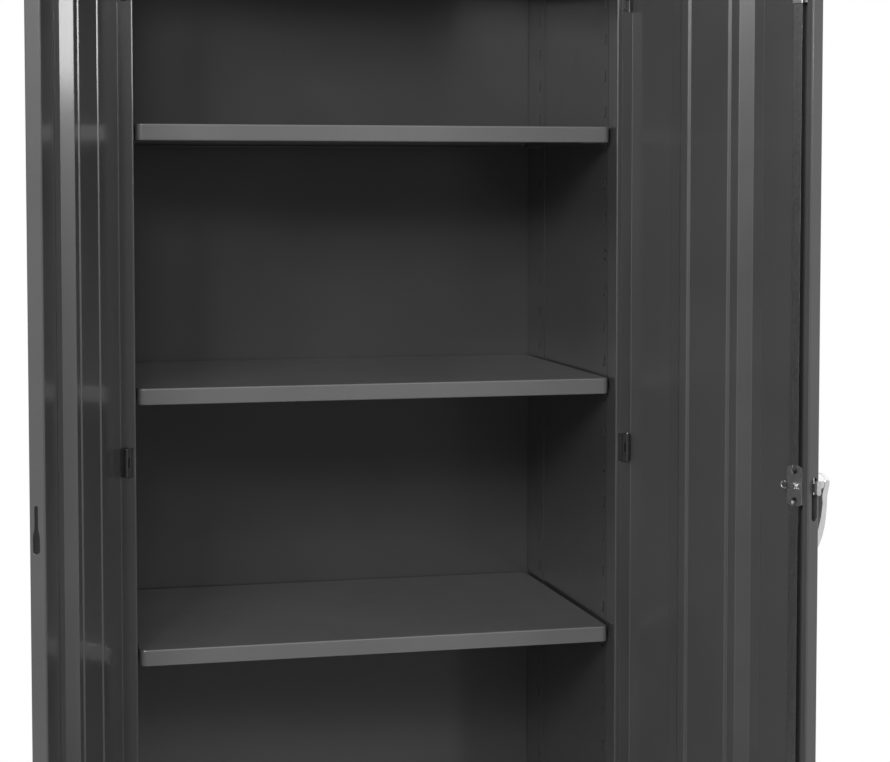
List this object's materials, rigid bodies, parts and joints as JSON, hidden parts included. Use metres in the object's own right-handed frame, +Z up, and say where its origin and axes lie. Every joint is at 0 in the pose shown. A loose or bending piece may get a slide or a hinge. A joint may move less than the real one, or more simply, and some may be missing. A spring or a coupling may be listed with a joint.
{
  "type": "storage cabinet",
  "caption": "Tall steel storage cabinet with hinged double doors standing open, adjustable shelves on slotted uprights and a lever-driven three-point latch.",
  "frame": {"origin": "floor level, centre of the body's footprint, which is the centre of the floor holes", "axes": "+Z up along the cabinet's height, -Y out of the front, +X to the right seen from the front"},
  "size_m": [1.3172, 1.0197, 1.981],
  "materials": {
    "body_paint": "semi-gloss",
    "door_paint": "semi-gloss",
    "shelf_paint": "semi-gloss",
    "zinc": "zinc plated",
    "chrome": "polished"
  },
  "bodies": {
    "cabinet": {"left_side_panel": "body_paint", "right_side_panel": "body_paint", "back_panel": "body_paint", "top_panel": "body_paint", "bottom_shelf": "shelf_paint", "base_front": "body_paint", "base_rear": "body_paint", "left_base_rail": "body_paint", "right_base_rail": "body_paint", "left_front_upright": "body_paint", "right_front_upright": "body_paint", "left_rear_upright": "body_paint", "right_rear_upright": "body_paint", "left_wall_liner": "body_paint", "right_wall_liner": "body_paint", "lower_shelf": "shelf_paint", "middle_shelf": "shelf_paint", "upper_shelf": "shelf_paint", "lower_shelf_clip_front_left": "body_paint", "lower_shelf_clip_front_right": "body_paint", "lower_shelf_clip_rear_left": "body_paint", "lower_shelf_clip_rear_right": "body_paint", "middle_shelf_clip_front_left": "body_paint", "middle_shelf_clip_front_right": "body_paint", "middle_shelf_clip_rear_left": "body_paint", "middle_shelf_clip_rear_right": "body_paint", "upper_shelf_clip_front_left": "body_paint", "upper_shelf_clip_front_right": "body_paint", "upper_shelf_clip_rear_left": "body_paint", "upper_shelf_clip_rear_right": "body_paint", "left_lower_hinge_frame_leaf": "body_paint", "left_middle_hinge_frame_leaf": "body_paint", "left_upper_hinge_frame_leaf": "body_paint", "right_lower_hinge_frame_leaf": "body_paint", "right_middle_hinge_frame_leaf": "body_paint", "right_upper_hinge_frame_leaf": "body_paint"},
    "left_door": {"left_door_panel": "door_paint", "left_door_stiffener": "door_paint", "left_lower_hinge_door_leaf": "door_paint", "left_middle_hinge_door_leaf": "door_paint", "left_upper_hinge_door_leaf": "door_paint"},
    "right_door": {"right_door_panel": "door_paint", "right_door_stiffener": "door_paint", "right_lower_hinge_door_leaf": "door_paint", "right_middle_hinge_door_leaf": "door_paint", "right_upper_hinge_door_leaf": "door_paint", "handle_plate": "chrome", "handle_bushing": "zinc", "upper_rod_guide": "zinc", "lower_rod_guide": "zinc"},
    "handle": {"door_handle": "chrome", "lock_cam": "zinc", "hitch_pin": "zinc"},
    "upper_rod": {"upper_lock_rod": "zinc"},
    "lower_rod": {"lower_lock_rod": "zinc"},
    "centre_bolt": {"centre_bolt": "zinc"}
  },
  "joints": [
    {"name": "left_door_hinge", "type": "hinge", "parent": "cabinet", "child": "left_door", "pos_m": [-0.452, -0.306, 1.023], "axis": [0, 0, -1], "range_deg": [-112.2, 67.8]},
    {"name": "right_door_hinge", "type": "hinge", "parent": "cabinet", "child": "right_door", "pos_m": [0.452, -0.306, 1.023], "axis": [0, 0, 1], "range_deg": [-114.1, 65.9]},
    {"name": "handle_turn", "type": "hinge", "parent": "right_door", "child": "handle", "pos_m": [0.63205, -0.6779, 1.001], "axis": [0.9128, 0.4083, 0], "range_deg": [0, 90]},
    {"name": "upper_rod_slide", "type": "slide", "parent": "right_door", "child": "upper_rod", "axis": [0, 0, 1], "range_m": [-0.0165, 0]},
    {"name": "lower_rod_slide", "type": "slide", "parent": "right_door", "child": "lower_rod", "axis": [0, 0, 1], "range_m": [0, 0.0165]},
    {"name": "centre_bolt_slide", "type": "slide", "parent": "right_door", "child": "centre_bolt", "axis": [0, 0, 1], "range_m": [-0.04384, 0]}
  ],
  "couplings": [
    {"joint": "upper_rod_slide", "follows": "handle_turn", "m_per_rad": -0.010504},
    {"joint": "lower_rod_slide", "follows": "handle_turn", "m_per_rad": 0.010504},
    {"joint": "centre_bolt_slide", "follows": "handle_turn", "m_per_rad": -0.027909}
  ]
}
